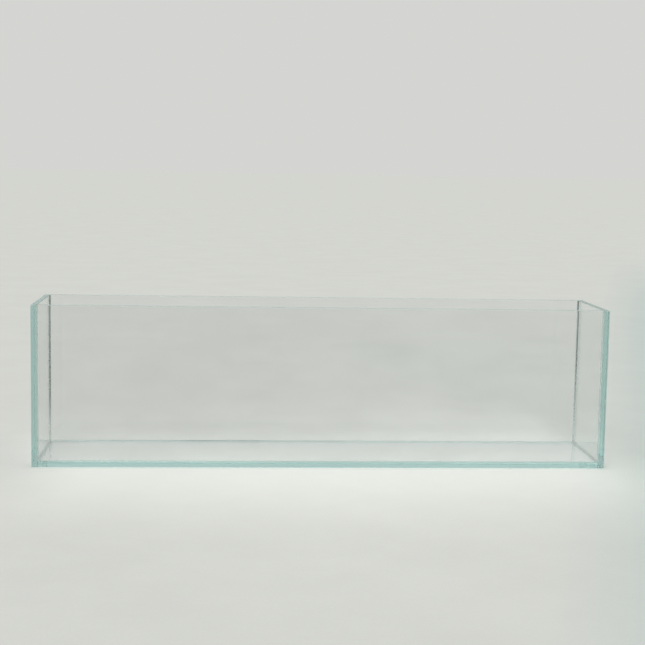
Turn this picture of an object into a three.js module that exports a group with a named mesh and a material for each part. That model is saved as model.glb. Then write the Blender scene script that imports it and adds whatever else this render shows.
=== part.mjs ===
// Long, low rimless aquarium tank: five ground and polished low-iron glass panes, silicone bonds
// between their edges, and a tooled silicone seal bead along each inside seam.
//
// Units are millimetres. +X runs along the tank, +Y from front to back and +Z up. The origin is the
// centre of the footprint, on the surface that the tank stands on.

import * as THREE from 'three';
import { ConvexGeometry } from 'three/addons/geometries/ConvexGeometry.js';

// Driving dimensions
const LENGTH = 1000; // outside, along X
const DEPTH = 190; // outside, along Y
const HEIGHT = 280; // outside, along Z
const GLASS = 10; // sheet thickness of all five panes
const ARRIS = 0.5; // 45 degree ground chamfer on every pane edge
const BOND = 0.75; // silicone thickness between two glued panes
const BEAD = 2; // leg of the tooled bead on each pane that it touches
const BEAD_STEPS = 8; // facets of the bead's hollow face, an even number so that one point is on its middle

// Planes that the pieces share
const INNER_X = LENGTH / 2 - GLASS; // inner faces of the left and right panes
const INNER_Y = DEPTH / 2 - GLASS; // inner faces of the front and back panes
const END_X = INNER_X - BOND; // short edges of the bottom pane, and ends of the front and back panes
const WALL_FOOT = GLASS + BOND; // lower edges of the front and back panes

const X = new THREE.Vector3(1, 0, 0);
const Y = new THREE.Vector3(0, 1, 0);
const Z = new THREE.Vector3(0, 0, 1);

const tank = new THREE.Group();
tank.name = 'glass_aquarium_tank';

function glassMaterial() {
  return new THREE.MeshStandardMaterial({
    color: 0xcfe6e1,
    roughness: 0.05,
    metalness: 0,
    transparent: true,
    opacity: 0.35,
  });
}

function siliconeMaterial() {
  return new THREE.MeshStandardMaterial({
    color: 0xc9d2ce,
    roughness: 0.35,
    metalness: 0,
    transparent: true,
    opacity: 0.7,
  });
}

// Solid between two opposite corners, with a chamfer along all twelve edges. Each of its six faces
// is the sheet's face drawn in by the chamfer, and the solid is the hull of those six rectangles.
function groundSheet(low, high, chamfer) {
  const corners = [];
  for (let axis = 0; axis < 3; axis += 1) {
    for (let index = 0; index < 8; index += 1) {
      const corner = [];
      for (let i = 0; i < 3; i += 1) {
        const inset = i === axis ? 0 : chamfer;
        const isHigh = (index >> i) & 1;
        corner.push(isHigh ? high[i] - inset : low[i] + inset);
      }
      corners.push(new THREE.Vector3(...corner));
    }
  }
  return new ConvexGeometry(corners);
}

function addPane(name, low, high) {
  const pane = new THREE.Mesh(groundSheet(low, high, ARRIS), glassMaterial());
  pane.name = name;
  tank.add(pane);
}

function addBond(name, low, high) {
  const size = high.map((value, i) => value - low[i]);
  const bond = new THREE.Mesh(new THREE.BoxGeometry(...size), siliconeMaterial());
  bond.name = name;
  bond.position.set(...low.map((value, i) => value + size[i] / 2));
  tank.add(bond);
}

// Section of a tooled bead in the corner of two panes. The panes are the lines u = 0 and v = 0, and
// the hollow face is a quarter circle that runs out onto both of them.
function beadSection() {
  const section = new THREE.Shape();
  section.moveTo(0, 0);
  section.lineTo(BEAD, 0);
  for (let step = 1; step < BEAD_STEPS; step += 1) {
    const angle = (step / BEAD_STEPS) * (Math.PI / 2);
    section.lineTo(BEAD * (1 - Math.sin(angle)), BEAD * (1 - Math.cos(angle)));
  }
  section.lineTo(0, BEAD);
  section.closePath();
  return section;
}

// A bead starts in a corner where three seams meet, so that end is mitred: each point of the
// section is drawn back by its larger distance from the two panes. The far end is mitred as well
// when the seam ends in another such corner, and is cut square when it ends at the open rim.
function beadGeometry(length, farEndMitred) {
  const geometry = new THREE.ExtrudeGeometry(beadSection(), { depth: length, bevelEnabled: false });
  const points = geometry.attributes.position;
  for (let i = 0; i < points.count; i += 1) {
    const drawnBack = Math.max(points.getX(i), points.getY(i));
    if (points.getZ(i) < length / 2) {
      points.setZ(i, drawnBack);
    } else if (farEndMitred) {
      points.setZ(i, length - drawnBack);
    }
  }
  return geometry;
}

// The bead runs from its start corner along `along`; `u` and `v` point from its two panes into the
// tank, and u, v and along are right-handed in that order.
function addBead(name, start, u, v, along, length, farEndMitred) {
  const bead = new THREE.Mesh(beadGeometry(length, farEndMitred), siliconeMaterial());
  bead.name = name;
  bead.quaternion.setFromRotationMatrix(new THREE.Matrix4().makeBasis(u, v, along));
  bead.position.set(...start);
  tank.add(bead);
}

// Panes: the left and right ones run the full depth and reach the ground. The bottom pane lies
// between them, also over the full depth, and the front and back panes stand on it.
addPane('left_pane', [-LENGTH / 2, -DEPTH / 2, 0], [-INNER_X, DEPTH / 2, HEIGHT]);
addPane('right_pane', [INNER_X, -DEPTH / 2, 0], [LENGTH / 2, DEPTH / 2, HEIGHT]);
addPane('bottom_pane', [-END_X, -DEPTH / 2, 0], [END_X, DEPTH / 2, GLASS]);
addPane('front_pane', [-END_X, -DEPTH / 2, WALL_FOOT], [END_X, -INNER_Y, HEIGHT]);
addPane('back_pane', [-END_X, INNER_Y, WALL_FOOT], [END_X, DEPTH / 2, HEIGHT]);

// Bonds of the front and back panes, each as wide as the flat of the glued edge between its
// chamfers: two upright ones at their ends, and one under their lower edge between those two.
const flatNear = INNER_Y + ARRIS;
const flatFar = DEPTH / 2 - ARRIS;
const rimBondTop = HEIGHT - ARRIS;
for (const [side, sign] of [['left', -1], ['right', 1]]) {
  const xs = [sign * INNER_X, sign * END_X].sort((a, b) => a - b);
  addBond(`bond_front_${side}`, [xs[0], -flatFar, GLASS], [xs[1], -flatNear, rimBondTop]);
  addBond(`bond_back_${side}`, [xs[0], flatNear, GLASS], [xs[1], flatFar, rimBondTop]);
  addBond(`bond_bottom_${side}`, [xs[0], -flatFar, ARRIS], [xs[1], flatFar, GLASS - ARRIS]);
}
addBond('bond_bottom_front', [-END_X, -flatFar, GLASS], [END_X, -flatNear, WALL_FOOT]);
addBond('bond_bottom_back', [-END_X, flatNear, GLASS], [END_X, flatFar, WALL_FOOT]);

// Seal beads along the four upright corners, from the bottom pane to just under the rim.
const uprightLength = HEIGHT - ARRIS - GLASS;
const minusX = X.clone().negate();
const minusY = Y.clone().negate();
addBead('bead_front_left', [-INNER_X, -INNER_Y, GLASS], X, Y, Z, uprightLength, false);
addBead('bead_front_right', [INNER_X, -INNER_Y, GLASS], Y, minusX, Z, uprightLength, false);
addBead('bead_back_right', [INNER_X, INNER_Y, GLASS], minusX, minusY, Z, uprightLength, false);
addBead('bead_back_left', [-INNER_X, INNER_Y, GLASS], minusY, X, Z, uprightLength, false);

// Seal beads round the bottom pane.
addBead('bead_bottom_front', [-INNER_X, -INNER_Y, GLASS], Y, Z, X, 2 * INNER_X, true);
addBead('bead_bottom_back', [-INNER_X, INNER_Y, GLASS], Z, minusY, X, 2 * INNER_X, true);
addBead('bead_bottom_left', [-INNER_X, -INNER_Y, GLASS], Z, X, Y, 2 * INNER_Y, true);
addBead('bead_bottom_right', [INNER_X, -INNER_Y, GLASS], minusX, Z, Y, 2 * INNER_Y, true);

export default tank;
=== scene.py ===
"""Looks of the rimless glass aquarium tank: ground and polished low-iron panes, the silicone
bonds between them and the tooled seal beads in their inside seams, on a plain pale studio floor.

Everything is in metres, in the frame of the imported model: +X along the tank, +Y from the front
pane to the back pane, +Z up, with the floor at z = 0.
"""
import math

import bmesh
import bpy
from mathutils import Matrix, Vector, noise


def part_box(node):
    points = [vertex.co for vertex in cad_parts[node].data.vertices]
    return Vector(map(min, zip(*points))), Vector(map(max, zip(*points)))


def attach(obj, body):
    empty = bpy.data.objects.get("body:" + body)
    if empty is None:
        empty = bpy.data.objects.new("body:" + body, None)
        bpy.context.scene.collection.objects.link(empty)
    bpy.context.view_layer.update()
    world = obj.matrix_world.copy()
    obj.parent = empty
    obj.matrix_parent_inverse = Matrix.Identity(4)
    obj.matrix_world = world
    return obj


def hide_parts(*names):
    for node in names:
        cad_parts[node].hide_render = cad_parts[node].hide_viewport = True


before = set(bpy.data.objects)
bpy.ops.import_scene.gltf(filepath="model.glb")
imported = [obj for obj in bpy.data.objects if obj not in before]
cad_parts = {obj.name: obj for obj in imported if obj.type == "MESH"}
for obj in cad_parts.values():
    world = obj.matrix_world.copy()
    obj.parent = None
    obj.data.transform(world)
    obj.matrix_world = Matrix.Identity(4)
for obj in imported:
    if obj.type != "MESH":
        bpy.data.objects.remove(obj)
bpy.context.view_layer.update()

BODY = "root"
MM = 0.001
X, Y, Z = 0, 1, 2

# ---------------------------------------------------------------- driving values

# Glass
GLASS_IOR = 1.52
GLASS_ABSORPTION = (2.3, 0.6, 0.72)  # per metre of path, red, green and blue
CLEAN_GLASS = (0.970, 0.962, 0.964)
FILMED_AND_SHADED_GLASS = (0.935, 0.926, 0.929)  # where wiping left the most film, and where the painted shade darkens the left end most
HANDLED_EDGE = (0.74, 0.76, 0.76)  # the upright edges that the tank is held by
EDGE_DUST = (0.86, 0.9, 0.89)  # glass dust left in the ground chamfers
PAINTED_SHADE_LEAN = 0.25  # painted shade: how much darker the glass is tinted at the left end, and lighter at the right
PAINTED_SHADE_SPAN = (-0.35, 0.35)
UPRIGHT_FILM = 0.85  # how dulled the upright front and back edges of the side panes are
CHAMFER_ROUGHNESS = 0.35  # the polished flats have an eighth of it
HAZE = 0.018  # roughness added where the glass was wiped worst
EDGE_DUST_COVER = 0.15  # most of a chamfer that dust can cover
RIPPLE = 0.06 * MM  # depth of the waves left by drawing the glass
GRIT = 0.03 * MM  # depth of the grinding marks
GLUED_REFLECTION = 0.04  # share of the head-on reflection left where silicone wets the glass
POLISHED, FLAT, CHAMFER = 0.0, 0.5, 1.0  # values of the face attribute "ground"
SQUARE_ON = 0.999  # a normal with this much along an axis faces straight along it

# Pane edges
ARRIS = 0.5 * MM  # ground chamfer on every pane edge
SOFTENED = 0.08 * MM  # rounding left by polishing where a chamfer meets a flat

# Silicone
SILICONE_IOR = 1.41
WETTING = 0.05 * MM  # how far silicone reaches into the glass it sticks to, so that no air shows
MENISCUS = 0.25 * MM  # how deep a glue line's trimmed surface is hollowed
TRIM = 0.15 * MM  # how far inside the pane's face a glue line was trimmed
BOND_END_STEPS = 4
BEAD_STATION = 12 * MM  # spacing of the sections along a bead
BEAD_ARC_STEPS = 10
BEAD_SHARP_FROM = math.radians(30)  # where two faces meet more sharply, the edge is a crisp one
BEAD_WANDER = 0.10  # share of the bead's leg by which a hand-tooled seam varies
WANDER_PER_METRE = 22.0
# Painted shade: the greys that the back seams are painted towards, for the dark lines that show
# along them.
BEAD_SHADE_GREY = (0.34, 0.35, 0.345)
FOOT_BEAD_SHADE_GREY = (0.28, 0.29, 0.285)
CLOUD_SHADE = 0.97  # how bright the tint stays where the silicone is cloudiest
SKIN = 0.01 * MM  # depth of the marks on its skin

# Silicone: painted shade, where the seams at the back are painted grey to stand for the dark lines
# that show along them. A span goes from no grey to full grey.
LEFT_GREY_HEIGHTS = (20 * MM, 110 * MM)
RIGHT_GREY_HEIGHTS = (30 * MM, 200 * MM)
UPRIGHT_GREY_REACH = (0.75, 0.55)  # shares of the leg, from the corner
FOOT_GREY_REACH = (0.4, 0.6)
FOOT_GREY = 0.35  # how far the long stretch of the foot bead goes towards its grey
FOOT_GREY_LEFT = (-0.41, -0.36)
FOOT_GREY_RIGHT = (0.08, 0.0)
FOOT_DARK = 0.65  # how much further the darker stretch goes
FOOT_DARK_LEFT = (-0.26, -0.235)
FOOT_DARK_RIGHT = (-0.075, -0.10)

# Camera
CAMERA_AT = Vector((-0.170, -2.453, 0.5285))
CAMERA_HEADING = math.radians(4.05)  # turned from +Y towards +X
CAMERA_PITCH = math.radians(-6.60)
CAMERA_ROLL = math.radians(1.016)
CAMERA_LENS = 77.13  # mm
CAMERA_SENSOR = 36.0  # mm

# Floor: base look
FLOOR_GAP = 0.3 * MM  # the ground underside of the panes stands this far off the floor's fibres
FLOOR_HALF = 60.0
FLOOR_ALBEDO = 0.73
FLOOR_TINT = (1.0, 1.008, 0.975)
FLOOR_MOTTLE = 0.012  # how far broad patches stray from the albedo
FLOOR_GRAIN = 0.008  # and how far its fine grain does
FLOOR_FIBRE = 0.3 * MM  # depth of the fine grain

# Floor: how much brighter it is around the tank
GLOW = 0.17  # where the front pane throws light back on it
FAR_GLOW = 0.04  # further forward, before the middle of the tank
UNDER_GLOW = 0.25  # under the bottom pane, at its front
UNDER_GLOW_BACK = 0.24  # the share of that at the back
BEHIND_GLOW = 0.12  # just behind the tank, at its right end
BEHIND_GLOW_LEFT = 0.35  # the share of that at the left end
FOOT_GLOW = (0.27, 0.16, 0.20)  # what the front and back panes bring down under their feet

# Floor: where each of these starts and ends, in metres along the tank or across it
GLOW_CENTRE = 0.02
BESIDE_FADE = (0.40, 0.63)
BEFORE_RISE = (-0.62, -0.08)
BEFORE_FADE = (0.09, 0.30)
FAR_SIDE_FADE = (0.05, 0.42)
FAR_RISE = (-1.1, -0.3)
FAR_FADE = (-0.3, 0.1)
UNDER_SIDE_FADE = (0.485, 0.50)
UNDER_RISE = (-0.10, -0.09)
UNDER_FADE = (0.09, 0.12)
UNDER_DEPTH = (-0.09, 0.09)
BEHIND_RISE = (0.08, 0.16)
BEHIND_FADE = (0.16, 0.65)
BEHIND_SIDE_RISE = (-0.1, 0.4)
BEHIND_SIDE_FADE = (0.45, 0.58)
FOOT_RISE = (0.070, 0.082)
FOOT_FADE = (0.093, 0.097)

# Floor: the cooler light that falls on it to the right, in a slanting band
COOL_TINT = (0.82, 0.915, 0.89)
COOL_SLANT = 0.285
COOL_RISE = (0.44, 0.70)
COOL_FADE = (0.9, 2.0)
COOL_FRONT_RISE = (-2.2, -1.1)
COOL_BACK_FADE = (1.6, 6.0)

# Light
HORIZON = 0.66  # radiance of the surround level with the tank, the same as the lit floor's
OVERHEAD = 0.80
SKY_RISE = (0.2, 1.0)  # height on the unit sphere over which the surround brightens
KEY_STRENGTH = 0.62
KEY_FROM = (-0.35, -0.75, 1.0)  # the way from the tank to it
KEY_SPREAD = math.radians(40)
BOUNCES = 128  # enough for light to be guided along a pane from end to end
DIFFUSE_BOUNCES = 3


# ---------------------------------------------------------------- shader helpers

class Shader:
    """A node material with short calls for the nodes that the materials below are made of."""

    def __init__(self, name):
        self.material = bpy.data.materials.new(name)
        self.material.use_nodes = True
        self.tree = self.material.node_tree
        self.tree.nodes.clear()
        self.output = self.node("ShaderNodeOutputMaterial")
        self.coordinates = self.node("ShaderNodeTexCoord").outputs["Object"]

    def node(self, kind, **settings):
        made = self.tree.nodes.new(kind)
        for key, value in settings.items():
            setattr(made, key, value)
        return made

    def feed(self, socket, value):
        if isinstance(value, bpy.types.NodeSocket):
            self.tree.links.new(value, socket)
        else:
            socket.default_value = value

    def math(self, operation, a, b=0.0, clamp=False):
        made = self.node("ShaderNodeMath", operation=operation, use_clamp=clamp)
        self.feed(made.inputs[0], a)
        self.feed(made.inputs[1], b)
        return made.outputs[0]

    def times(self, first, *others):
        for other in others:
            first = self.math("MULTIPLY", first, other)
        return first

    def plus(self, first, *others):
        for other in others:
            first = self.math("ADD", first, other)
        return first

    def vector_math(self, operation, **inputs):
        made = self.node("ShaderNodeVectorMath", operation=operation)
        self.feed(made.inputs[0], inputs["vector"])
        if "other" in inputs:
            self.feed(made.inputs[1], inputs["other"])
        if "scale" in inputs:
            self.feed(made.inputs["Scale"], inputs["scale"])
        return made.outputs[0]

    def split(self, vector):
        made = self.node("ShaderNodeSeparateXYZ")
        self.feed(made.inputs[0], vector)
        return made.outputs

    def remap(self, value, low, high, to_low, to_high):
        """A smooth step from to_low to to_high, as the value goes from low to high."""
        made = self.node("ShaderNodeMapRange", interpolation_type="SMOOTHSTEP")
        for socket, amount in zip(made.inputs, (value, low, high, to_low, to_high)):
            self.feed(socket, amount)
        return made.outputs[0]

    def rise(self, value, span, start=0.0):
        return self.remap(value, *span, start, 1.0)

    def fade(self, value, span, end=0.0):
        return self.remap(value, *span, 1.0, end)

    def scaled(self, vector, scale):
        made = self.node("ShaderNodeMapping")
        self.feed(made.inputs["Vector"], vector)
        made.inputs["Scale"].default_value = scale
        return made.outputs[0]

    def noise(self, scale, detail=2.0, rough=0.5, vector=None):
        made = self.node("ShaderNodeTexNoise")
        self.feed(made.inputs["Vector"], vector or self.coordinates)
        made.inputs["Scale"].default_value = scale
        made.inputs["Detail"].default_value = detail
        made.inputs["Roughness"].default_value = rough
        return made.outputs["Fac"]

    def mix(self, share, first, second):
        made = self.node("ShaderNodeMix", data_type="RGBA")
        self.feed(made.inputs["Factor"], share)
        self.feed(made.inputs["A"], first)
        self.feed(made.inputs["B"], second)
        return made.outputs["Result"]

    def face_value(self, name):
        return self.node("ShaderNodeAttribute", attribute_name=name).outputs["Fac"]

    def bump(self, height, distance, strength=1.0, normal=None):
        made = self.node("ShaderNodeBump")
        made.inputs["Strength"].default_value = strength
        made.inputs["Distance"].default_value = distance
        self.feed(made.inputs["Height"], height)
        if normal:
            self.feed(made.inputs["Normal"], normal)
        return made.outputs[0]

    def glued_tint(self):
        """Specular tint: plain in the open air, and next to nothing on glued faces."""
        wetted = rgb(GLUED_REFLECTION, GLUED_REFLECTION, GLUED_REFLECTION)
        return self.mix(self.face_value("glued"), rgb(1, 1, 1), wetted)

    def principled(self, **inputs):
        made = self.node("ShaderNodeBsdfPrincipled")
        for key, value in inputs.items():
            self.feed(made.inputs[key.replace("_", " ")], value)
        self.tree.links.new(made.outputs[0], self.output.inputs["Surface"])

    def absorb(self, per_metre):
        """Absorption by depth, given per metre of path for red, green and blue."""
        # Any density above the strongest absorption gives the same look.
        density = 1.5 * max(per_metre)
        made = self.node("ShaderNodeVolumeAbsorption")
        made.inputs["Color"].default_value = rgb(*[1 - a / density for a in per_metre])
        made.inputs["Density"].default_value = density
        self.tree.links.new(made.outputs[0], self.output.inputs["Volume"])


def rgb(red, green, blue):
    return (red, green, blue, 1)


# ---------------------------------------------------------------- materials

def glass_material():
    """Low-iron float glass. The face attribute "ground" says how a face was finished, "glued"
    marks the edges that silicone wets, and "filmed" says how dulled a face is by handling."""
    s = Shader("low_iron_glass")
    ground_open = s.times(s.face_value("ground"), s.math("SUBTRACT", 1.0, s.face_value("glued")))

    wiped = s.noise(7.0, detail=4.0, rough=0.6, vector=s.scaled(s.coordinates, (1.0, 1.0, 2.2)))
    haze = s.remap(wiped, 0.45, 0.8, 0.0, HAZE)
    grinding = s.noise(900.0, detail=3.0, rough=0.7)
    coarse = s.times(s.math("POWER", ground_open, 3.0), CHAMFER_ROUGHNESS)
    edge_roughness = s.times(coarse, s.remap(grinding, 0.2, 0.8, 0.7, 1.2))

    # Painted shade: the glass is tinted darker towards the left end and lighter towards the right,
    # on top of the random film from wiping.
    painted_shade_lean = s.remap(s.split(s.coordinates)[X], *PAINTED_SHADE_SPAN, PAINTED_SHADE_LEAN, -PAINTED_SHADE_LEAN)
    film = s.math("ADD", s.rise(wiped, (0.25, 0.75)), painted_shade_lean, clamp=True)
    wiped_and_shaded_glass = s.mix(film, rgb(*CLEAN_GLASS), rgb(*FILMED_AND_SHADED_GLASS))
    dust = s.times(s.remap(ground_open, FLAT, CHAMFER, 0.0, EDGE_DUST_COVER), grinding)
    dusty_shaded_glass = s.mix(dust, wiped_and_shaded_glass, rgb(*EDGE_DUST))

    drawn = s.noise(3.2, detail=1.0, vector=s.scaled(s.coordinates, (0.35, 1.0, 1.0)))
    ripple = s.bump(drawn, RIPPLE)
    grit = s.bump(s.times(ground_open, grinding), GRIT, 0.5, ripple)

    s.principled(
        Base_Color=s.mix(s.face_value("filmed"), dusty_shaded_glass, rgb(*HANDLED_EDGE)),
        Roughness=s.plus(haze, edge_roughness),
        IOR=GLASS_IOR,
        Transmission_Weight=1.0,
        Specular_Tint=s.glued_tint(),
        Normal=grit,
    )
    s.absorb(GLASS_ABSORPTION)
    return s.material


def silicone_material(name, transmission, tint, absorption, roughness, grey=None):
    """Clear cured silicone: mostly see-through, with soft cloudy variation. With a grey, the face
    attribute "greyed" says how far a face's look has gone from the clear tint to that grey."""
    s = Shader(name)
    cloud = s.noise(60.0, detail=3.0, rough=0.6)
    skin = s.noise(420.0, detail=2.0)
    cloudy_tint = rgb(*[CLOUD_SHADE * part for part in tint])
    colour = s.mix(s.rise(cloud, (0.3, 0.7)), rgb(*tint), cloudy_tint)
    # Painted shade: the grey stands for the dark lines seen along the back seams.
    if grey:
        colour = s.mix(s.face_value("painted_shade"), colour, rgb(*grey))
    s.principled(
        Base_Color=colour,
        Roughness=s.remap(cloud, 0.25, 0.75, *roughness),
        IOR=SILICONE_IOR,
        Transmission_Weight=transmission,
        Specular_Tint=s.glued_tint(),
        Normal=s.bump(skin, SKIN, 0.3),
    )
    s.absorb(absorption)
    return s.material


GLASS = glass_material()
BOND = silicone_material(
    "silicone_bond",
    transmission=0.985,
    tint=(0.99, 0.995, 0.995),
    absorption=(6.0, 4.0, 4.5),
    roughness=(0.0, 0.04),
)
BEAD = silicone_material(
    "silicone_bead",
    transmission=0.98,
    tint=(0.985, 0.995, 0.99),
    absorption=(8.0, 6.0, 7.0),
    roughness=(0.22, 0.38),
    grey=BEAD_SHADE_GREY,
)
CLEAR_BEAD = silicone_material(
    "silicone_clear_bead",
    transmission=0.98,
    tint=(0.99, 0.998, 0.995),
    absorption=(2.0, 1.4, 1.6),
    roughness=(0.0, 0.05),
)
FOOT_BEAD = silicone_material(
    "silicone_foot_bead",
    transmission=0.55,
    tint=(0.96, 0.985, 0.975),
    absorption=(3.0, 2.0, 2.4),
    roughness=(0.12, 0.25),
    grey=FOOT_BEAD_SHADE_GREY,
)


# ---------------------------------------------------------------- mesh helpers

def finish_piece(mesh, name, material):
    piece = bpy.data.objects.new(name, mesh)
    bpy.context.scene.collection.objects.link(piece)
    piece.data.materials.append(material)
    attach(piece, BODY)
    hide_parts(name.removesuffix("_look"))
    return piece


def face_values(mesh, name):
    """The values of a new face attribute, one for each face in order."""
    return mesh.attributes.new(name, "FLOAT", "FACE").data


def ramp(value, span):
    """A smooth step from 0 at the span's first end to 1 at its second, whichever is higher."""
    start, full = span
    share = min(1.0, max(0.0, (value - start) / (full - start)))
    return share * share * (3 - 2 * share)


# ---------------------------------------------------------------- panes

def face_finish(normal, thin_axis):
    """How a pane's face was finished, from the way it faces: the two broad faces are as drawn,
    the narrow flats are ground and polished, and everything aslant is only ground."""
    lead = max(range(3), key=lambda axis: abs(normal[axis]))
    if abs(normal[lead]) < SQUARE_ON:
        return CHAMFER
    return POLISHED if lead == thin_axis else FLAT


def pane_piece(node, glued_sides, edge_film=0.0):
    """A pane with flat ground chamfers whose borders are softened by polishing. glued_sides are
    the (axis, sign) of its glued edges; edge_film says how dulled its front and back faces are."""
    low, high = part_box(node)
    size = high - low
    thin_axis = min(range(3), key=lambda axis: size[axis])
    bm = bmesh.new()
    bmesh.ops.create_cube(bm, size=1.0)
    bmesh.ops.transform(bm, matrix=Matrix.Diagonal((*size, 1.0)), verts=bm.verts)
    bmesh.ops.translate(bm, vec=(low + high) / 2, verts=bm.verts)
    bmesh.ops.bevel(bm, geom=bm.edges[:], offset=ARRIS, segments=1, affect="EDGES")
    bmesh.ops.bevel(
        bm, geom=bm.edges[:], offset=SOFTENED, segments=2, profile=0.5, affect="EDGES")
    bmesh.ops.recalc_face_normals(bm, faces=bm.faces)
    mesh = bpy.data.meshes.new(node + "_look")
    bm.to_mesh(mesh)
    bm.free()
    for value, face in zip(face_values(mesh, "ground"), mesh.polygons):
        value.value = face_finish(face.normal, thin_axis)
    for value, face in zip(face_values(mesh, "glued"), mesh.polygons):
        is_glued = any(sign * face.normal[axis] > SQUARE_ON for axis, sign in glued_sides)
        value.value = float(is_glued)
    for value, face in zip(face_values(mesh, "filmed"), mesh.polygons):
        value.value = edge_film if abs(face.normal.y) > SQUARE_ON else 0.0
    return finish_piece(mesh, node + "_look", GLASS)


# ---------------------------------------------------------------- silicone

def sweep(name, section, stations, place):
    """A closed mesh with one ring of points per station. section(station) gives the ring's (u, v)
    points. place(u, v, station, end) gives a point's position, where end is -1 at the first
    station, 1 at the last and 0 between them."""
    bm = bmesh.new()
    rings = []
    last = len(stations) - 1
    for index, station in enumerate(stations):
        end = -1 if index == 0 else 1 if index == last else 0
        rings.append([bm.verts.new(place(u, v, station, end)) for u, v in section(station)])
    count = len(rings[0])
    for ring, following in zip(rings, rings[1:]):
        for i in range(count):
            j = (i + 1) % count
            bm.faces.new((ring[i], ring[j], following[j], following[i]))
    bm.faces.new(list(reversed(rings[0])))
    bm.faces.new(rings[-1])
    bmesh.ops.triangulate(bm, faces=[f for f in bm.faces if len(f.verts) > 4])
    bmesh.ops.recalc_face_normals(bm, faces=bm.faces)
    mesh = bpy.data.meshes.new(name)
    bm.to_mesh(mesh)
    bm.free()
    return mesh


def bond_piece(node, glue_axis, width_axis, flat_sign, open_ends):
    """A glue line. u runs across the film, from the pane whose broad face is glued to the pane
    whose edge is glued; v runs across the glued edge. Beside that edge's chamfers the film widens
    to fill them, and where it was trimmed to the open air it is hollowed."""
    low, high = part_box(node)
    run_axis = 3 - glue_axis - width_axis
    film = high[glue_axis] - low[glue_axis]
    start = low[glue_axis] if flat_sign > 0 else high[glue_axis]
    v_low, v_high = low[width_axis] - ARRIS, high[width_axis] + ARRIS
    low_open, high_open = open_ends

    def end_points(v_edge, inward, is_open):
        """From the broad face to the chamfer's far side, along one end of the section."""
        points = []
        for step in range(BOND_END_STEPS + 1):
            share = step / BOND_END_STEPS
            u = share * (film + ARRIS) if step else -WETTING
            inset = TRIM + MENISCUS * math.sin(math.pi * share) if is_open else -WETTING
            points.append((u, v_edge + inward * inset))
        return points

    def section(_):
        near = end_points(v_low, 1, low_open)
        far = end_points(v_high, -1, high_open)
        inner = film + WETTING
        return [*near, (inner, v_low + ARRIS), (inner, v_high - ARRIS), *reversed(far)]

    def place(u, v, station, _):
        point = Vector((0, 0, 0))
        point[glue_axis] = start + flat_sign * u
        point[width_axis] = v
        point[run_axis] = station
        return point

    # An upright film starts level with the top of the bottom pane and runs on a little at the rim.
    # The others run on at both ends.
    run_on = WETTING if run_axis == X else 0.5 * ARRIS
    run_back = 0.0 if run_axis == Z else run_on
    stations = [low[run_axis] - run_back, high[run_axis] + run_on]
    mesh = sweep(node + "_look", section, stations, place)
    # Glued are the faces along the broad face, the edge and its chamfers, which lie aslant.
    for value, face in zip(face_values(mesh, "glued"), mesh.polygons):
        value.value = float(abs(face.normal[glue_axis]) > 0.5)
    return finish_piece(mesh, node + "_look", BOND)


def bead_piece(node, run_axis, signs, mitred_ends, greying, material):
    """A tooled seam. Its corner lies where the two panes meet; signs say which way the tank's
    inside lies from that corner along each axis across the seam. greying(middle, reach) gives the
    face attribute "greyed" from a face's middle and from how far along each of the two panes it
    is from the corner, as a share of the bead's leg."""
    low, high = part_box(node)
    across = [axis for axis in range(3) if axis != run_axis]
    leg = min(high[axis] - low[axis] for axis in across)
    corner = Vector((0, 0, 0))
    for axis in across:
        corner[axis] = low[axis] if signs[axis] > 0 else high[axis]
    length = high[run_axis] - low[run_axis]
    count = max(2, round(length / BEAD_STATION))
    # A start of its own for each seam, so that no two of them wander alike.
    seed = Vector((corner.x * 37.0, corner.y * 53.0, corner.z * 71.0 + run_axis * 11.0))

    def leg_at(station):
        wander = noise.noise(seed + Vector((station * WANDER_PER_METRE, 0.0, 0.0)))
        return leg * (1 - BEAD_WANDER * (0.5 + 0.5 * wander))

    def section(station):
        reach = leg_at(station)
        points = [(-WETTING, -WETTING), (reach, -WETTING)]
        for step in range(BEAD_ARC_STEPS + 1):
            angle = step / BEAD_ARC_STEPS * math.pi / 2
            points.append((reach * (1 - math.sin(angle)), reach * (1 - math.cos(angle))))
        points.append((-WETTING, reach))
        return points

    def place(u, v, station, end):
        point = corner.copy()
        point[across[0]] += signs[across[0]] * u
        point[across[1]] += signs[across[1]] * v
        mitre = max(u, v) - WETTING
        if end < 0 and mitred_ends[0]:
            point[run_axis] = low[run_axis] + mitre
        elif end > 0 and mitred_ends[1]:
            point[run_axis] = high[run_axis] - mitre
        else:
            point[run_axis] = station
        return point

    stations = [low[run_axis] + length * i / count for i in range(count + 1)]
    mesh = sweep(node + "_look", section, stations, place)
    mesh.shade_smooth()
    mesh.set_sharp_from_angle(angle=BEAD_SHARP_FROM)
    # Painted shade: how far each face is painted towards the grey.
    for value, face in zip(face_values(mesh, "painted_shade"), mesh.polygons):
        reach = [abs(face.center[axis] - corner[axis]) / leg for axis in across]
        value.value = greying(face.center, reach)
    # Glued are the faces that lie nearly flat against one of the two panes.
    for value, face in zip(face_values(mesh, "glued"), mesh.polygons):
        value.value = float(min(face.normal[axis] * signs[axis] for axis in across) < -0.9)
    return finish_piece(mesh, node + "_look", material)


def not_greyed(middle, reach):
    return 0.0


def back_upright_painted_shade(middle, reach):
    """Painted shade near the corner, from a little above the bottom pane upwards, further up at the
    right.
    """
    heights = LEFT_GREY_HEIGHTS if middle.x < 0 else RIGHT_GREY_HEIGHTS
    return ramp(reach[0], UPRIGHT_GREY_REACH) * ramp(middle.z, heights)


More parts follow.
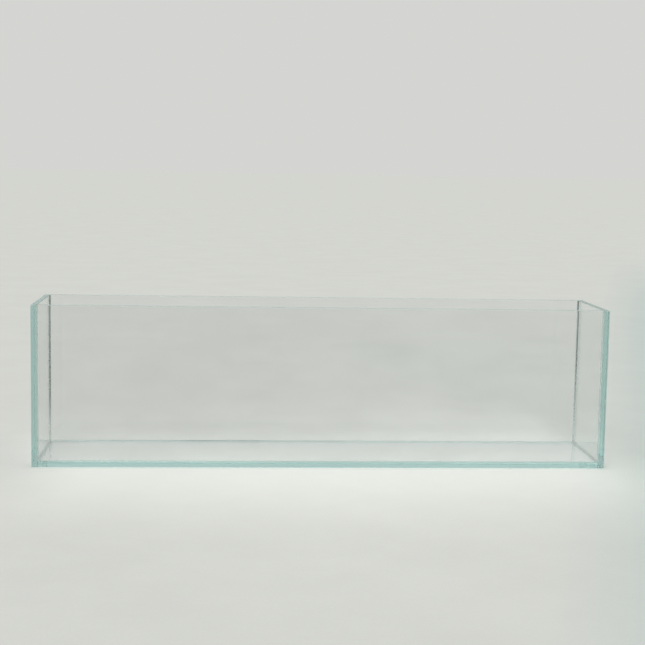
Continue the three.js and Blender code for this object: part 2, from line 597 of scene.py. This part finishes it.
def back_foot_painted_shade(middle, reach):
    """Painted shade along the lip on the back pane, left of the middle, with one darker stretch in
    it.
    """
    grey = FOOT_GREY * ramp(middle.x, FOOT_GREY_LEFT) * ramp(middle.x, FOOT_GREY_RIGHT)
    dark = FOOT_DARK * ramp(middle.x, FOOT_DARK_LEFT) * ramp(middle.x, FOOT_DARK_RIGHT)
    return (grey + dark) * ramp(reach[1], FOOT_GREY_REACH)


# ---------------------------------------------------------------- the tank

pane_piece("left_pane", (), UPRIGHT_FILM)
pane_piece("right_pane", (), UPRIGHT_FILM)
pane_piece("bottom_pane", ((X, -1), (X, 1)))
pane_piece("front_pane", ((X, -1), (X, 1), (Z, -1)))
pane_piece("back_pane", ((X, -1), (X, 1), (Z, -1)))

for side, inward in (("left", 1), ("right", -1)):
    bond_piece(f"bond_front_{side}", X, Y, inward, (True, False))
    bond_piece(f"bond_back_{side}", X, Y, inward, (False, True))
    bond_piece(f"bond_bottom_{side}", X, Z, inward, (True, False))
    bead_piece(f"bead_front_{side}", Z, {X: inward, Y: 1}, (True, False), not_greyed, BEAD)
    bead_piece(
        f"bead_back_{side}", Z, {X: inward, Y: -1}, (True, False), back_upright_painted_shade, BEAD)
    bead_piece(f"bead_bottom_{side}", Y, {X: inward, Z: 1}, (True, True), not_greyed, FOOT_BEAD)
for end, inward, greying, silicone in (
    ("front", 1, not_greyed, CLEAR_BEAD),
    ("back", -1, back_foot_painted_shade, FOOT_BEAD),
):
    bond_piece(f"bond_bottom_{end}", Z, Y, 1, (end == "front", end == "back"))
    bead_piece(f"bead_bottom_{end}", X, {Y: inward, Z: 1}, (True, True), greying, silicone)


# ---------------------------------------------------------------- floor, light and camera

def floor_material():
    s = Shader("studio_floor")
    x, y, _ = s.split(s.coordinates)
    off_centre = s.math("ABSOLUTE", s.math("SUBTRACT", x, GLOW_CENTRE))
    under_side = s.fade(s.math("ABSOLUTE", x), UNDER_SIDE_FADE)

    mottle = s.noise(5.0, detail=6.0, rough=0.7)
    grain = s.noise(260.0, detail=2.0, rough=0.6)
    shade = s.plus(
        s.remap(mottle, 0.3, 0.7, -FLOOR_MOTTLE, FLOOR_MOTTLE),
        s.remap(grain, 0.3, 0.7, -FLOOR_GRAIN, FLOOR_GRAIN))

    beside = s.fade(off_centre, BESIDE_FADE)
    before = s.times(s.rise(y, BEFORE_RISE), s.fade(y, BEFORE_FADE))
    far = s.times(s.fade(off_centre, FAR_SIDE_FADE), s.rise(y, FAR_RISE), s.fade(y, FAR_FADE))
    under = s.times(
        under_side, s.rise(y, UNDER_RISE), s.fade(y, UNDER_FADE),
        s.fade(y, UNDER_DEPTH, UNDER_GLOW_BACK))
    behind = s.times(
        s.rise(y, BEHIND_RISE), s.fade(y, BEHIND_FADE),
        s.rise(x, BEHIND_SIDE_RISE, BEHIND_GLOW_LEFT), s.fade(x, BEHIND_SIDE_FADE))
    value = s.plus(
        FLOOR_ALBEDO, shade, s.times(beside, before, GLOW), s.times(far, FAR_GLOW),
        s.times(under, UNDER_GLOW), s.times(beside, behind, BEHIND_GLOW))

    slant = s.math("SUBTRACT", x, s.times(y, COOL_SLANT))
    cool = s.times(
        s.rise(slant, COOL_RISE), s.fade(slant, COOL_FADE),
        s.rise(y, COOL_FRONT_RISE), s.fade(y, COOL_BACK_FADE))
    tint = s.mix(cool, rgb(*FLOOR_TINT), rgb(*COOL_TINT))

    away = s.math("ABSOLUTE", y)
    foot = s.times(s.rise(away, FOOT_RISE), s.fade(away, FOOT_FADE), under_side)
    lit = s.vector_math("SCALE", vector=tint, scale=value)
    foot_light = s.vector_math("SCALE", vector=FOOT_GLOW, scale=foot)
    diffuse = s.node("ShaderNodeBsdfDiffuse")
    s.feed(diffuse.inputs["Color"], s.vector_math("ADD", vector=lit, other=foot_light))
    s.feed(diffuse.inputs["Normal"], s.bump(grain, FLOOR_FIBRE, 0.25))
    s.tree.links.new(diffuse.outputs[0], s.output.inputs["Surface"])
    return s.material


def make_floor():
    bm = bmesh.new()
    bmesh.ops.create_grid(bm, x_segments=8, y_segments=8, size=FLOOR_HALF)
    bmesh.ops.translate(bm, vec=(0, 0, -FLOOR_GAP), verts=bm.verts)
    mesh = bpy.data.meshes.new("studio_floor")
    bm.to_mesh(mesh)
    bm.free()
    floor = bpy.data.objects.new("studio_floor", mesh)
    floor.data.materials.append(floor_material())
    bpy.context.scene.collection.objects.link(floor)


def make_sky():
    """An even pale surround, a little brighter overhead."""
    world = bpy.data.worlds.new("studio")
    bpy.context.scene.world = world
    world.use_nodes = True
    tree = world.node_tree
    tree.nodes.clear()
    where = tree.nodes.new("ShaderNodeTexCoord")
    split = tree.nodes.new("ShaderNodeSeparateXYZ")
    tree.links.new(where.outputs["Generated"], split.inputs[0])
    rise = tree.nodes.new("ShaderNodeMapRange")
    rise.interpolation_type = "SMOOTHSTEP"
    for socket, amount in zip(rise.inputs[1:], (*SKY_RISE, HORIZON, OVERHEAD)):
        socket.default_value = amount
    tree.links.new(split.outputs[2], rise.inputs[0])
    background = tree.nodes.new("ShaderNodeBackground")
    background.inputs["Color"].default_value = rgb(*FLOOR_TINT)
    tree.links.new(rise.outputs[0], background.inputs["Strength"])
    out = tree.nodes.new("ShaderNodeOutputWorld")
    tree.links.new(background.outputs[0], out.inputs["Surface"])


def make_key_light():
    """One broad soft light from the front left, far enough away to light the whole floor alike."""
    light = bpy.data.lights.new("key", "SUN")
    light.energy = KEY_STRENGTH
    light.angle = KEY_SPREAD
    lamp = bpy.data.objects.new("key", light)
    lamp.rotation_euler = (-Vector(KEY_FROM)).to_track_quat("-Z", "Y").to_euler()
    bpy.context.scene.collection.objects.link(lamp)


def make_camera():
    forward = Vector((
        math.sin(CAMERA_HEADING) * math.cos(CAMERA_PITCH),
        math.cos(CAMERA_HEADING) * math.cos(CAMERA_PITCH),
        math.sin(CAMERA_PITCH),
    ))
    level = forward.cross(Vector((0, 0, 1))).normalized()
    upright = level.cross(forward)
    right = level * math.cos(CAMERA_ROLL) + upright * math.sin(CAMERA_ROLL)
    up = right.cross(forward)
    turn = Matrix((right, up, -forward)).transposed().to_4x4()
    data = bpy.data.cameras.new("camera")
    data.lens = CAMERA_LENS
    data.sensor_width = CAMERA_SENSOR
    camera = bpy.data.objects.new("camera", data)
    camera.matrix_world = Matrix.Translation(CAMERA_AT) @ turn
    bpy.context.scene.collection.objects.link(camera)
    bpy.context.scene.camera = camera


make_floor()
make_sky()
make_key_light()
make_camera()

scene = bpy.context.scene
scene.view_settings.view_transform = "Standard"
scene.cycles.max_bounces = BOUNCES
scene.cycles.transmission_bounces = BOUNCES
scene.cycles.glossy_bounces = BOUNCES
scene.cycles.diffuse_bounces = DIFFUSE_BOUNCES
scene.cycles.use_denoising = True
scene.cycles.blur_glossy = 0.0  # the default filtering darkens whatever is seen through the panes
